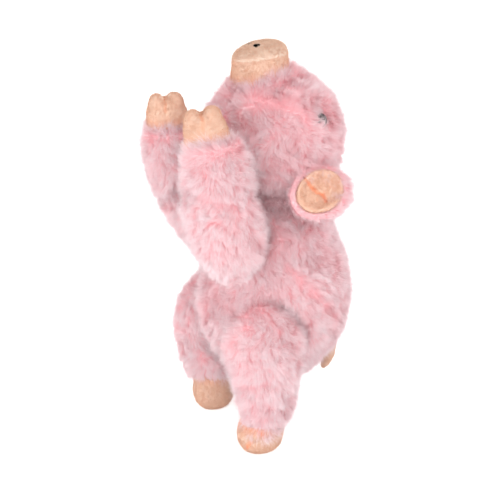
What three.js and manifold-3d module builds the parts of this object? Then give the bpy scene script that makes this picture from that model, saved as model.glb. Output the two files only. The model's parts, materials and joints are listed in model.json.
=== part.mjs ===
// Stuffed plush pig, a dog's squeaky toy, stood upright on its two hind hooves with its snout in the air
// and its front legs raised. Millimetres, +Z up, the raised front legs towards -Y, the pig's left on +X.
// Every fur surface here is the mean height of the pile, so a skin is the cloth and half of its pile.
import * as THREE from "three";
import { mergeVertices } from "three/addons/utils/BufferGeometryUtils.js";
import Module from "manifold-3d";

// Clearances
const gap = 0.3; // between pieces that are sewn or pressed together
const neckGap = 0.9; // at the neck seat, which turns
const balance = 4; // how far the middle of the pig lies behind the line of its hips

// Cloth
const plush = 6;
const velour = 2.2;

// Trunk, from the underside of the belly to the top of the chest
const trunkLow = 35;
const trunkHigh = 178;
const trunkLowBack = 24;
const trunkHighBack = 13;
const trunkWide = [46, 50, 50, 47, 44];
const trunkDeep = [49, 54, 55, 49, 45];
const shoulderDome = 44; // round chest that the head sits on

// Neck, hip and shoulder joints
const neckBack = 15;
const neckHigh = 144;
const neckMouth = 19;
const shoulderOut = 24;
const shoulderBack = -30;
const shoulderHigh = 154;
const shoulderSeat = 28;
const hipOut = 27;
const hipBack = -9;
const hipHigh = 82;
const hipSeat = 32;
const armTurns = [20, 40, 60, 75]; // degrees that the front legs are cleared for, down towards the belly
const legTurns = [5, -12, -26, -42, -60]; // degrees that the hind legs are cleared for, less than 0 forwards

// Head
const headLow = 166;
const headTall = 96;
const headHigh = headLow + headTall;
const headBack = 18;
const headTopBack = 16;
const headWide = [44, 47, 48, 46, 41];
const headDeep = [44, 46, 47, 45, 40];
const headBlunt = 2.4;

// Snout
const snoutBack = 7.5;
const snoutRadius = 19.2;
const snoutRimRadius = 18.2;
const snoutRise = 5.5; // of the rim over the head
const snoutRim = headHigh + snoutRise;
const snoutSlant = 15; // degrees that the rim drops towards the chin
const snoutRoot = 20; // how far the band runs down from the middle of its rim
const noseCrown = 8;
const noseEdge = 2;
const nostrilOut = 5.6;
const nostrilDrop = 3; // from the middle of the nose towards the chin
const nostrilWide = 2.6;
const nostrilTall = 2.0;
const nostrilThick = 0.7;

// Eyes: domed buttons on a shank, each held by a washer inside the head
const eyeTurn = 71; // degrees round from the forehead to the side
const eyeRise = 21;
const eyeRadius = 4.6;
const eyeDome = 3.6;
const eyeFlange = 0.8;
const eyeSink = 3.2;
const shankRadius = 1.9;
const shankLength = 9.5;
const washerRadius = 6.5;
const washerThick = 1.3;
const washerSink = 7.1;

// Ears
const earOut = 45;
const earBack = 15;
const earHigh = 201;
const earReach = 39;
const earBreadth = 21;
const earThick = 6.5;
const earDroop = 50; // degrees below level
const earSweep = 36; // degrees back from straight out
const earLining = 1.8;
const earBowl = 3.4; // depth of the hollow side

// Front legs
const armOut = 37;
const armIn = [0, 0, -1, -2]; // of each bend of the leg from armOut
const armRise = [-26, 0, 26, 50]; // and from the shoulder
const armWide = [22, 24, 22.5, 21, 19];
// The left front leg sags forwards at its root, and the right one is stretched up. Each hoof is turned round
// its leg by twist degrees, and its seam rises towards the head by tilt degrees.
const armPoses = {
  left: { deep: [24, 26.5, 24, 22.5, 20], lean: [1, -4, -11, -12], twist: 60, tilt: 12 },
  right: { deep: [15, 16, 17.5, 21, 20], lean: [8, 3, -8, -13], twist: 105, tilt: 4 },
};
const armSeam = 220.5;
const frontHoofOut = 33;
const frontHoofBack = -46.5;
const frontHoofTall = 23;
const frontHoofHem = 13; // how far the hoof's form runs on inside the leg
const frontHoofBroad = 15;
const frontHoofThin = 12.6;
const toeOut = 6.1; // of the middle of each toe
const toeBroad = 6;
const toeTall = 17;
const toeCleft = 2.6;

// Hind legs
const legOut = 38.5;
const legRise = [29, 0, -36]; // of each bend of the leg from the hip
const legEnd = -0.5;
const legEndIn = 3; // from the middle of the hoof
// The right leg is bent forwards at the knee and its plush is pushed up off its hoof.
const legPoses = {
  left: { wide: [23, 24, 19.5, 17, 16.5], deep: [27, 32, 25.5, 21.5, 20], lean: [0, 0, 2], seam: 21.5 },
  right: { wide: [23, 24, 20, 17, 15], deep: [27, 32, 28, 21, 17], lean: [0, -1, -4], seam: 29 },
};
const hindHoofWide = 14.8;
const hindHoofLong = 16.6;
const hindHoofBack = -12;
const hindHoofHem = 12.5;
const hindHoofSole = -3; // where the round of the sole would end if the floor did not flatten it

// Cleft at the front of the hind hooves
const cleftWide = 5;
const cleftDeep = 4.5;
const cleftLong = 60;
const cleftMouth = 10; // how far the wedge that cuts it stands out

// Tail
const tailHigh = 62;
const tailLow = 31;
const tailBack = 68;
const tailWide = 4.6;
const tailThick = 3.4;
const tailRootIn = 8;
const tailRootUp = 2;
const tailBow = 1;
const tailBend = 5;
const tailTuck = 6;
const tailHingeIn = 6;
const tailHingeUp = 4;

// Squeaker
const squeakerBack = 20;
const squeakerHigh = 106;
const squeakerRadius = 21;
const squeakerHalf = 10.5;
const squeakerWall = 1.2;
const reedRadius = 4;
const reedFlange = 6;
const reedLength = 8;
const fillingSlit = 5;
const fillingSlitLong = 120;

// Facets round and along a form where it shows, and of the hollows and filling that it hides
const furSides = 16;
const furRings = 12;
const hiddenSides = 12;
const hiddenRings = 7;
const domeSteps = 24;
const hiddenDomeSteps = 16;

const colours = {
  plush: 0xe9bcc4,
  velour: 0xf6cdb0,
  nose: 0xe6c3ae,
  fill: 0xf4f1ea,
  eye: 0x0b0a0c,
  thread: 0x17130f,
  washer: 0xe8e6df,
  squeaker: 0xf2efe6,
};
const roughness = { eye: 0.08, washer: 0.5, squeaker: 0.4 };

const wasm = await Module();
wasm.setup();

const degrees = THREE.MathUtils.degToRad;
const vector = (x, y, z) => new THREE.Vector3(x, y, z);
const xAxis = vector(1, 0, 0);

// A closed geometry as a solid that can be joined and cut.
function solid(geometry) {
  const bare = geometry.clone();
  bare.deleteAttribute("normal");
  bare.deleteAttribute("uv");
  const merged = mergeVertices(bare, 1e-4);
  const vertProperties = merged.attributes.position.array;
  const triVerts = new Uint32Array(merged.index.array);
  return new wasm.Manifold(new wasm.Mesh({ numProp: 3, vertProperties, triVerts }));
}

// A solid's faces as a geometry, on the pig's right when mirrored is true.
function geometryOf(shape, mirrored = false) {
  const { numProp, vertProperties, triVerts } = shape.getMesh();
  const corners = new Float32Array((vertProperties.length / numProp) * 3);
  for (let i = 0; i < corners.length / 3; i++) {
    corners[3 * i] = vertProperties[i * numProp] * (mirrored ? -1 : 1);
    corners[3 * i + 1] = vertProperties[i * numProp + 1];
    corners[3 * i + 2] = vertProperties[i * numProp + 2];
  }
  const faces = Array.from(triVerts);
  const geometry = new THREE.BufferGeometry();
  geometry.setAttribute("position", new THREE.BufferAttribute(corners, 3));
  geometry.setIndex(mirrored ? faces.reverse() : faces);
  return geometry;
}

// Smooth value at u, from 0 to 1, through a list of values at even steps.
function along(values, u) {
  const curve = new THREE.SplineCurve(values.map((v, i) => new THREE.Vector2(i, v)));
  return curve.getPoint(u).y;
}

// A stuffed form: ellipses strung on a line, drawn in to a rounded pole at each end. wide is the half size
// along X and deep the half size square to it; inset draws the whole form in by a thickness of cloth.
function stuffed(form, inset = 0) {
  const { line, wide, deep, blunt = 2.4 } = form;
  const hidden = inset > 1;
  const sides = hidden ? hiddenSides : form.sides ?? furSides;
  const rings = hidden ? hiddenRings : form.rings ?? furRings;
  const path = new THREE.CatmullRomCurve3(line.map((p) => vector(...p)));
  const length = path.getLength();
  const points = [];
  for (let i = 0; i <= rings; i++) {
    const t = (1 - Math.cos((Math.PI * i) / rings)) / 2;
    const full = Math.sqrt(Math.max(0, 1 - Math.abs(2 * t - 1) ** blunt));
    const u = Math.min(1, Math.max(0, inset / length + t * (1 - (2 * inset) / length)));
    const ahead = path.getTangentAt(u);
    const beyond = inset < 0 ? Math.abs(inset) * (2 * t - 1) : 0;
    const centre = path.getPointAt(u).addScaledVector(ahead, beyond);
    const depth = vector(0, 0, 0).crossVectors(ahead, xAxis).normalize();
    const halfWide = (along(wide, u) - inset) * full;
    const halfDeep = (along(deep, u) - inset) * full;
    if (i === 0 || i === rings) {
      points.push(centre);
      continue;
    }
    for (let s = 0; s < sides; s++) {
      const turn = (2 * Math.PI * s) / sides;
      const corner = centre.clone().addScaledVector(xAxis, halfWide * Math.cos(turn));
      points.push(corner.addScaledVector(depth, halfDeep * Math.sin(turn)));
    }
  }
  return closedRings(points, sides, rings - 1);
}

// Rings of corners between a first and a last pole, skinned with outward faces.
function closedRings(points, sides, ringCount) {
  const faces = [];
  const last = points.length - 1;
  const corner = (ring, s) => 1 + ring * sides + (s % sides);
  for (let s = 0; s < sides; s++) {
    faces.push(0, corner(0, s + 1), corner(0, s));
    faces.push(last, corner(ringCount - 1, s), corner(ringCount - 1, s + 1));
    for (let ring = 0; ring < ringCount - 1; ring++) {
      faces.push(corner(ring, s), corner(ring, s + 1), corner(ring + 1, s + 1));
      faces.push(corner(ring, s), corner(ring + 1, s + 1), corner(ring + 1, s));
    }
  }
  const geometry = new THREE.BufferGeometry().setFromPoints(points);
  geometry.setIndex(faces);
  return solid(geometry);
}

// A profile of [radius, height] turned round +Z, then set at a place with its +Z along an aim.
function turned(profile, place, aim, segments = 24) {
  const geometry = new THREE.LatheGeometry(
    profile.map(([r, h]) => new THREE.Vector2(r, h)),
    segments,
  );
  const turn = new THREE.Quaternion().setFromUnitVectors(vector(0, 1, 0), aim.clone().normalize());
  geometry.applyQuaternion(turn);
  geometry.translate(place.x, place.y, place.z);
  return solid(geometry);
}

// A plain round bar from one height to another along an aim.
function bar(radius, from, to, place, aim, segments = 24) {
  return turned([[0, from], [radius, from], [radius, to], [0, to]], place, aim, segments);
}

function ball(centre, radius, steps = domeSteps) {
  const geometry = new THREE.SphereGeometry(radius, steps, steps / 2);
  geometry.rotateX(Math.PI / 2);
  geometry.translate(centre.x, centre.y, centre.z);
  return solid(geometry);
}

// Everything above a height, within reach of the toy.
function above(height) {
  const reach = 400;
  const geometry = new THREE.BoxGeometry(reach, reach, reach);
  geometry.translate(0, 0, height + reach / 2);
  return solid(geometry);
}

function below(height) {
  const reach = 400;
  const geometry = new THREE.BoxGeometry(reach, reach, reach);
  geometry.translate(0, 0, height - reach / 2);
  return solid(geometry);
}

function material(name) {
  return new THREE.MeshStandardMaterial({
    color: colours[name],
    roughness: roughness[name] ?? 0.95,
    metalness: 0,
  });
}

// A group with its origin at a joint, inside the group of the body that carries it.
function jointGroup(parent, pivot) {
  const group = new THREE.Group();
  group.position.copy(pivot);
  if (parent.userData.pivot) group.position.sub(parent.userData.pivot);
  group.userData.pivot = pivot;
  parent.add(group);
  return group;
}

// A named piece in the group of the body that it moves with, measured from that group's joint.
function piece(group, name, shape, cloth, mirrored = false) {
  const geometry = geometryOf(shape, mirrored).toNonIndexed();
  const pivot = group.userData.pivot;
  geometry.translate(-pivot.x, -pivot.y, -pivot.z);
  geometry.computeVertexNormals();
  const mesh = new THREE.Mesh(geometry, material(cloth));
  mesh.name = name;
  group.add(mesh);
}

const sides = [
  { name: "left", sign: 1 },
  { name: "right", sign: -1 },
];

// The round seats that the legs turn on, for the left side. half and radius are the room that a leg's root has.
const shoulderJoint = {
  out: shoulderOut,
  middle: armOut,
  half: along(armWide, 0.25) + 1,
  radius: shoulderSeat,
  back: shoulderBack,
  high: shoulderHigh,
  turns: armTurns,
};
const hipJoint = {
  out: hipOut,
  middle: legOut,
  half: along(legPoses.left.wide, 0.25) + 1,
  radius: hipSeat,
  back: hipBack,
  high: hipHigh,
  turns: legTurns,
};

// Everything on the inner side of a left leg's seat, bevelled away round its edge, so that the leg's root is flat
// where it faces the trunk.
function seatFace(joint, clearance) {
  const { out, radius, back, high } = joint;
  const face = out + clearance;
  const rim = radius + 1;
  const profile = [[0, 0], [rim + face, 0], [rim, face], [0, face]];
  return turned(profile, vector(0, back, high), xAxis, 24);
}

// Trunk

const trunkForm = {
  line: [
    [0, trunkLowBack, trunkLow],
    [0, (trunkLowBack + trunkHighBack) / 2, (trunkLow + trunkHigh) / 2],
    [0, trunkHighBack, trunkHigh],
  ],
  wide: trunkWide,
  deep: trunkDeep,
  sides: 24,
  rings: 14,
};
const neckPivot = vector(0, neckBack, neckHigh);

function trunkOutline(inset) {
  const steps = inset > 1 ? hiddenDomeSteps : domeSteps;
  return stuffed(trunkForm, inset).add(ball(neckPivot, shoulderDome - inset, steps));
}

// The same, drawn only as finely as the hollows and filling of the legs need.
function trunkInside(grow) {
  const form = { ...trunkForm, sides: hiddenSides, rings: hiddenRings };
  return stuffed(form, -grow).add(ball(neckPivot, shoulderDome + grow, hiddenDomeSteps));
}

// Half a flattened ball, turned round X: the room that the root of a left leg turns in. It is as wide and deep
// as the leg, starts flat at out, and is grown by a thickness of cloth for the hollow behind it.
function seatPocket(joint, grow) {
  const { out, middle, half, radius, back, high, sign } = joint;
  const profile = [[0, out - grow]];
  const hidden = grow > 1;
  const steps = hidden ? 4 : 6;
  const start = Math.asin((out - middle) / half);
  for (let i = 0; i <= steps; i++) {
    const t = start + ((Math.PI / 2 - start) * i) / steps;
    const reach = i === steps ? 0 : (radius + grow) * Math.cos(t);
    const height = i === 0 ? out - grow : middle + (half + grow) * Math.sin(t);
    profile.push([reach, height]);
  }
  return turned(profile, vector(0, back, high), vector(sign, 0, 0), hidden ? 16 : 24);
}

// The four leg seats.
function legSeats(grow) {
  let seats = null;
  for (const { sign } of sides) {
    for (const joint of [shoulderJoint, hipJoint]) {
      const pocket = seatPocket({ ...joint, sign }, grow);
      seats = seats ? seats.add(pocket) : pocket;
    }
  }
  return seats;
}

// The trunk as a left leg meets it while it turns on its joint, in the leg's own place. The seat is left out.
function trunkPast(joint, grow) {
  const { out, radius, back, high, turns } = joint;
  const hidden = grow > 1;
  const pocket = seatPocket({ ...joint, sign: 1 }, -grow / 2);
  const trunk = (hidden ? trunkInside(grow) : trunkOutline(-grow)).subtract(pocket);
  const side = trunk.translate([0, -back, -high]).intersect(bar(radius * 3, 0, out * 2, vector(0, 0, 0), xAxis));
  let swept = side;
  turns.forEach((turn, i) => {
    if (!hidden || i % 2 === 0) swept = swept.add(side.rotate([-turn, 0, 0]));
  });
  return swept.translate([0, back, high]);
}

function neckBore(radius) {
  return bar(radius, 0, shoulderDome * 2, neckPivot, vector(0, 0, 1), 24);
}

function bodySkin() {
  const hollow = trunkOutline(plush).subtract(legSeats(plush));
  const shell = trunkOutline(0).subtract(legSeats(0)).subtract(hollow);
  return shell.subtract(neckBore(neckMouth));
}

const squeakerCentre = vector(0, squeakerBack, squeakerHigh);

function squeakerOutline(grow) {
  const r = squeakerRadius + grow;
  const h = squeakerHalf + grow;
  const profile = [];
  const steps = 6;
  for (let i = 0; i <= steps; i++) {
    const t = -Math.PI / 2 + (Math.PI * i) / steps;
    const swell = Math.cos(t) ** 0.7;
    profile.push([i === 0 || i === steps ? 0 : r * swell, h * Math.sin(t)]);
  }
  return turned(profile, squeakerCentre, xAxis, 18);
}

function reedSeat(radius, from, to) {
  return bar(radius, from, to, squeakerCentre, xAxis, 18);
}

function bodyStuffing() {
  const fill = trunkOutline(plush + gap).subtract(legSeats(plush + gap));
  const neckFill = neckBore(neckMouth - gap).intersect(ball(neckPivot, shoulderDome));
  const reedRoom = reedSeat(reedFlange + gap, 0, squeakerHalf + reedLength / 2);
  const slit = new THREE.BoxGeometry(fillingSlit, fillingSlitLong, fillingSlit * 5);
  slit.translate(0, squeakerBack + fillingSlitLong / 2, squeakerHigh);
  return fill
    .add(neckFill)
    .subtract(squeakerOutline(gap))
    .subtract(reedRoom)
    .subtract(solid(slit));
}

function squeakerBulb() {
  const mouth = reedSeat(reedRadius + gap, 0, squeakerHalf * 2);
  return squeakerOutline(0).subtract(squeakerOutline(-squeakerWall)).subtract(mouth);
}

function squeakerReed() {
  const face = squeakerHalf + gap;
  const profile = [
    [1.4, face - reedLength],
    [reedRadius, face - reedLength],
    [reedRadius, face],
    [reedFlange, face],
    [reedFlange, face + 1.4],
    [1.4, face + 1.4],
    [1.4, face - reedLength],
  ];
  return turned(profile, squeakerCentre, xAxis, 18);
}

// Head

const headForm = {
  line: [
    [0, headBack, headLow],
    [0, headBack, (headLow + headHigh) / 2],
    [0, headTopBack, headHigh],
  ],
  wide: headWide,
  deep: headDeep,
  blunt: headBlunt,
  sides: 24,
  rings: 14,
};
const snoutAxis = vector(0, 0, 1);
const noseAim = vector(0, -Math.sin(degrees(snoutSlant)), Math.cos(degrees(snoutSlant)));
const rimCentre = vector(0, snoutBack, snoutRim);

// What lies beyond the slanted rim of the snout, moved along the nose's aim.
function beyondRim(shift) {
  const reach = 120;
  const place = rimCentre.clone().addScaledVector(noseAim, shift);
  return bar(reach, 0, reach, place, noseAim, 8);
}

function snoutBar(radius, from, to) {
  return bar(radius, from, to, rimCentre, snoutAxis, 24);
}

function noseDome(grow) {
  const r = snoutRimRadius + grow;
  const profile = [[0, 0]];
  const steps = 5;
  profile.push([r, 0]);
  for (let i = 0; i <= steps; i++) {
    const t = (Math.PI / 2) * (i / steps);
    const out = i === steps ? 0 : r * Math.cos(t);
    profile.push([out, noseEdge + grow + noseCrown * Math.sin(t)]);
  }
  const place = rimCentre.clone().addScaledVector(noseAim, gap);
  return turned(profile, place, noseAim, 24);
}

function nostrilBar(sign, grow) {
  const length = 4 * noseCrown;
  const geometry = new THREE.CylinderGeometry(1, 1, length, 12);
  geometry.rotateX(Math.PI / 2);
  geometry.scale(nostrilWide + grow, nostrilTall + grow, 1);
  geometry.rotateX(degrees(snoutSlant));
  const place = rimCentre.clone().addScaledVector(noseAim, length / 2 + noseEdge / 2);
  const drop = vector(0, -Math.cos(degrees(snoutSlant)), -Math.sin(degrees(snoutSlant)));
  place.addScaledVector(drop, nostrilDrop);
  geometry.translate(sign * nostrilOut, place.y, place.z);
  return solid(geometry);
}

function nostril(sign) {
  return nostrilBar(sign, 0).intersect(noseDome(gap)).subtract(noseDome(gap - nostrilThick));
}

function noseDisc() {
  let disc = noseDome(0);
  for (const { sign } of sides) {
    const recess = nostrilBar(sign, gap).subtract(noseDome(-nostrilThick));
    disc = disc.subtract(recess);
  }
  return disc;
}

// A bar down the snout that narrows to its rim as the snout does, inset by a thickness of cloth.
function snoutTaper(inset, from, to) {
  const slope = (snoutRadius - snoutRimRadius) / snoutRoot;
  const profile = [
    [0, from],
    [snoutRimRadius - inset - slope * from, from],
    [snoutRimRadius - inset - slope * to, to],
    [0, to],
  ];
  return turned(profile, rimCentre, snoutAxis, 24);
}

function snoutBand() {
  const tube = snoutTaper(0, -snoutRoot, snoutRoot);
  const bore = snoutTaper(velour, -snoutRoot * 2, snoutRoot * 2);
  return tube.subtract(bore).subtract(beyondRim(0));
}

// Where the left eye meets the fur, and the way that it looks.
const eyeAim = vector(
  Math.sin(degrees(eyeTurn)) * Math.cos(degrees(eyeRise)),
  Math.cos(degrees(eyeTurn)) * Math.cos(degrees(eyeRise)),
  Math.sin(degrees(eyeRise)),
);
const headMiddle = vector(0, headBack, (headLow + headHigh) / 2);
const headHalfDeep = along(headDeep, 0.5);
const headHalfWide = along(headWide, 0.5);
const headHalfTall = (headHigh - headLow) / 2;
const eyeReach = 1 / Math.hypot(
  eyeAim.x / headHalfWide,
  eyeAim.y / headHalfDeep,
  eyeAim.z / headHalfTall,
);
const eyePlace = headMiddle.clone().addScaledVector(eyeAim, eyeReach);

function eyeBar(sign, radius, from, to) {
  const place = vector(sign * eyePlace.x, eyePlace.y, eyePlace.z);
  const aim = vector(sign * eyeAim.x, eyeAim.y, eyeAim.z);
  return bar(radius, from, to, place, aim, 14);
}

function eyeButton() {
  const seat = -eyeSink;
  const profile = [
    [0, seat - shankLength],
    [shankRadius * 0.8, seat - shankLength],
    [shankRadius, seat - shankLength + 0.8],
    [shankRadius, seat],
    [eyeRadius * 0.92, seat],
    [eyeRadius, seat + eyeFlange / 2],
  ];
  const steps = 5;
  for (let i = 0; i <= steps; i++) {
    const t = (Math.PI / 2) * (i / steps);
    const out = i === steps ? 0 : eyeRadius * Math.cos(t);
    profile.push([out, seat + eyeFlange + eyeDome * Math.sin(t)]);
  }
  return turned(profile, eyePlace, eyeAim, 14);
}

function eyeWasher() {
  const hole = shankRadius + gap;
  const profile = [
    [hole, -washerSink - washerThick],
    [washerRadius, -washerSink - washerThick],
    [washerRadius, -washerSink],
    [hole, -washerSink],
    [hole, -washerSink - washerThick],
  ];
  return turned(profile, eyePlace, eyeAim, 12);
}

function neckSeat(clearance) {
  return ball(neckPivot, shoulderDome + clearance);
}

function headSkin() {
  let shell = stuffed(headForm).subtract(neckSeat(neckGap));
  shell = shell.subtract(stuffed(headForm, plush));
  shell = shell.subtract(snoutBar(snoutRadius + gap, -snoutRoot * 2, snoutRoot * 2));
  for (const { sign } of sides) {
    shell = shell.subtract(eyeBar(sign, eyeRadius + gap, -eyeSink - gap, plush * 2));
    shell = shell.subtract(eyeBar(sign, shankRadius + gap, -plush * 2, 0));
    shell = shell.subtract(eyeBar(sign, washerRadius + gap, -plush * 2, -washerSink + gap));
  }
  return shell;
}

function headStuffing() {
  let fill = stuffed(headForm, plush + gap);
  const snoutFill = snoutTaper(velour + gap, -snoutRoot * 1.6, snoutRoot);
  fill = fill.subtract(snoutBar(snoutRadius + gap, -snoutRoot - gap, snoutRoot * 2));
  fill = fill.add(snoutFill.subtract(beyondRim(0))).subtract(neckSeat(neckGap));
  for (const { sign } of sides) {
    fill = fill.subtract(eyeBar(sign, washerRadius + gap, -washerSink - washerThick - gap, 0));
    fill = fill.subtract(eyeBar(sign, shankRadius + gap, -eyeSink - shankLength - gap, 0));
  }
  return fill;
}

// Ears

// The left ear hangs from its root and is hollow on the side that looks outwards.
const earRoot = vector(earOut, earBack, earHigh);
const earAim = vector(
  Math.cos(degrees(earDroop)) * Math.cos(degrees(earSweep)),
  Math.cos(degrees(earDroop)) * Math.sin(degrees(earSweep)),
  -Math.sin(degrees(earDroop)),
);

// A flattened form in the ear's own frame, with +Z along the ear, +Y across it and +X out of its hollow side.
function earFrame(shape) {
  const across = vector(0, 0, 0).crossVectors(earAim, xAxis).normalize();
  const out = vector(0, 0, 0).crossVectors(across, earAim).normalize();
  const frame = new THREE.Matrix4().makeBasis(out, across, earAim).setPosition(earRoot);
  return solid(geometryOf(shape).applyMatrix4(frame));
}

function earLeaf(inset) {
  const form = {
    line: [
      [0, 0, 0],
      [-1, 0, earReach * 0.5],
      [1.5, 0, earReach],
    ],
    wide: [earThick * 0.8, earThick, earThick, earThick, earThick * 0.8],
    deep: [earBreadth * 0.7, earBreadth, earBreadth * 1.05, earBreadth, earBreadth * 0.75],
    blunt: 2.6,
    sides: 16,
    rings: 9,
  };
  return stuffed(form, inset);
}

function earHollow(inset) {
  const middle = earThick + 1.5;
  const form = {
    line: [
      [middle, 0, earReach * 0.1],
      [middle - 1, 0, earReach * 0.5],
      [middle + 1, 0, earReach * 0.92],
    ],
    wide: [middle * 0.6 + earBowl, middle + earBowl * 0.4, middle + earBowl * 0.4, middle * 0.6 + earBowl],
    deep: [earBreadth * 0.7, earBreadth * 0.93, earBreadth * 0.91, earBreadth * 0.68],
    blunt: 2.6,
    sides: 16,
    rings: 9,
  };
  return stuffed(form, inset);
}

function earOuter() {
  return earFrame(earLeaf(0).subtract(earHollow(0))).subtract(stuffed(headForm, -gap));
}

function earLiningShape() {
  const sheet = earHollow(gap).subtract(earHollow(gap + earLining)).intersect(earLeaf(0.6));
  return earFrame(sheet).subtract(stuffed(headForm, -gap));
}

// Hooves

// Two rounded toes on one foot, measured up the leg from the seam.
function frontHoofForm(inset) {
  const foot = {
    line: [
      [0, 0, -frontHoofHem],
      [0, 0, frontHoofTall * 0.3],
      [0, 0, frontHoofTall - toeCleft],
    ],
    wide: [frontHoofBroad * 0.96, frontHoofBroad, frontHoofBroad * 0.92, frontHoofBroad * 0.84],
    deep: [frontHoofThin, frontHoofThin, frontHoofThin, frontHoofThin * 0.94],
    blunt: 6,
    sides: 16,
    rings: 9,
  };
  let shape = stuffed(foot, inset);
  for (const { sign } of sides) {
    const toe = {
      line: [
        [sign * toeOut, 0, frontHoofTall - toeTall],
        [sign * toeOut, 0, frontHoofTall],
      ],
      wide: [toeBroad, toeBroad],
      deep: [frontHoofThin * 0.76, frontHoofThin * 0.76],
      blunt: 2.8,
      sides: 12,
      rings: 7,
    };
    shape = shape.add(stuffed(toe, inset));
  }
  return shape;
}

// Something measured from the middle of a front hoof's seam, set at the end of its leg.
function placeFrontHoof(shape, { twist, tilt }) {
  const geometry = geometryOf(shape);
  geometry.rotateY(degrees(-tilt));
  geometry.rotateZ(degrees(twist));
  geometry.translate(frontHoofOut, frontHoofBack, armSeam);
  return solid(geometry);
}

function frontHoof(pose) {
  const shell = frontHoofForm(0).subtract(frontHoofForm(velour));
  return placeFrontHoof(shell.intersect(above(gap)), pose);
}

// A wedge that parts the two toes of a left hind hoof.
function cleft(grow) {
  const half = ((cleftWide / 2 + grow) * (cleftDeep + cleftMouth)) / cleftDeep;
  const wedge = new THREE.Shape();
  wedge.moveTo(-half, -cleftMouth);
  wedge.lineTo(half, -cleftMouth);
  wedge.lineTo(0, cleftDeep + grow * 2);
  wedge.closePath();
  const geometry = new THREE.ExtrudeGeometry(wedge, { depth: cleftLong, bevelEnabled: false });
  geometry.translate(legOut, hindHoofBack - hindHoofLong, -cleftLong / 2);
  return solid(geometry);
}

function hindHoofForm(inset, seam) {
  const form = {
    line: [
      [legOut, hindHoofBack - 1, hindHoofSole],
      [legOut, hindHoofBack, 8],
      [legOut, hindHoofBack + 3, seam + hindHoofHem],
    ],
    wide: [hindHoofWide, hindHoofWide, hindHoofWide, hindHoofWide * 0.9],
    deep: [hindHoofLong, hindHoofLong, hindHoofLong * 0.9, hindHoofLong * 0.76],
    blunt: 2.8,
    sides: 18,
    rings: 12,
  };
  return stuffed(form, inset).subtract(cleft(inset));
}

function hindHoof(seam) {
  const hollow = hindHoofForm(velour, seam).intersect(above(velour));
  return hindHoofForm(0, seam).subtract(hollow).intersect(above(0)).intersect(below(seam - gap));
}

// The filling on both sides of a seam, joined where leg and hoof are both hollow.
function throughSeam(legFill, hoofFill, legSide, hoofSide) {
  return legFill.intersect(legSide).add(hoofFill.intersect(hoofSide)).add(legFill.intersect(hoofFill));
}

// Front legs

const armCut = (grow) => trunkPast(shoulderJoint, grow);

function armForm({ deep, lean }) {
  const bends = armRise.map((rise, i) => [armOut + armIn[i], shoulderBack + lean[i], shoulderHigh + rise]);
  return {
    line: [...bends, [frontHoofOut, frontHoofBack + 0.5, armSeam + frontHoofTall * 0.9]],
    wide: armWide,
    deep,
    blunt: 2.8,
  };
}

function armSkin(pose) {
  const form = armForm(pose);
  const outside = stuffed(form).subtract(seatFace(shoulderJoint, gap)).subtract(armCut(gap));
  const hollow = stuffed(form, plush).subtract(seatFace(shoulderJoint, gap + plush));
  const sleeve = outside.subtract(hollow.subtract(armCut(gap + plush)));
  return sleeve.intersect(placeFrontHoof(below(0), pose));
}

function armStuffing(pose) {
  const inside = stuffed(armForm(pose), plush + gap);
  const fill = inside.subtract(seatFace(shoulderJoint, gap * 2 + plush)).subtract(armCut(gap * 2 + plush));
  const hoofFill = placeFrontHoof(frontHoofForm(velour + gap), pose);
  return throughSeam(fill, hoofFill, placeFrontHoof(below(0), pose), placeFrontHoof(above(0), pose));
}

// Hind legs

function legForm({ wide, deep, lean }) {
  return {
    line: [
      ...legRise.map((rise, i) => [legOut, hipBack + lean[i], hipHigh + rise]),
      [legOut, hindHoofBack + legEndIn, legEnd],
    ],
    wide,
    deep,
    blunt: 2.8,
  };
}

const legCut = (grow) => trunkPast(hipJoint, grow);

function legSkin(pose) {
  const form = legForm(pose);
  const outside = stuffed(form).subtract(seatFace(hipJoint, gap)).subtract(legCut(gap));
  const hollow = stuffed(form, plush).subtract(seatFace(hipJoint, gap + plush));
  return outside.subtract(hollow.subtract(legCut(gap + plush))).intersect(above(pose.seam));
}

function legStuffing(pose) {
  const { seam } = pose;
  const inside = stuffed(legForm(pose), plush + gap);
  const fill = inside.subtract(seatFace(hipJoint, gap * 2 + plush)).subtract(legCut(gap * 2 + plush));
  const hoofFill = hindHoofForm(velour + gap, seam).intersect(above(velour + gap));
  return throughSeam(fill, hoofFill, above(seam), below(seam));
}

// Tail

function tailShape() {
  const form = {
    line: [
      [0, tailBack - tailRootIn, tailHigh + tailRootUp],
      [0, tailBack - tailBow, tailHigh - tailBend],
      [0, tailBack + tailBow, (tailHigh + tailLow) / 2],
      [0, tailBack - tailTuck, tailLow],
    ],
    wide: [tailWide * 0.7, tailWide * 0.9, tailWide, tailWide * 1.05],
    deep: [tailThick * 0.8, tailThick, tailThick, tailThick],
    blunt: 3.4,
    sides: 12,
    rings: 10,
  };
  return stuffed(form).subtract(trunkOutline(-gap));
}

// Assembly

const pig = new THREE.Group();
pig.position.set(0, -balance, 0);

const trunk = jointGroup(pig, vector(0, 0, 0));
piece(trunk, "body_skin", bodySkin(), "plush");
piece(trunk, "body_stuffing", bodyStuffing(), "fill");
piece(trunk, "squeaker_bulb", squeakerBulb(), "squeaker");
piece(trunk, "squeaker_reed", squeakerReed(), "squeaker");

const head = jointGroup(trunk, neckPivot);
piece(head, "head_skin", headSkin(), "plush");
piece(head, "head_stuffing", headStuffing(), "fill");
piece(head, "snout_band", snoutBand(), "velour");
piece(head, "nose_disc", noseDisc(), "nose");

const tail = jointGroup(trunk, vector(0, tailBack - tailHingeIn, tailHigh + tailHingeUp));
piece(tail, "tail", tailShape(), "velour");

const pair = {
  nostril: nostril(1),
  eye: eyeButton(),
  washer: eyeWasher(),
  ear: earOuter(),
  lining: earLiningShape(),
};

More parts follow.
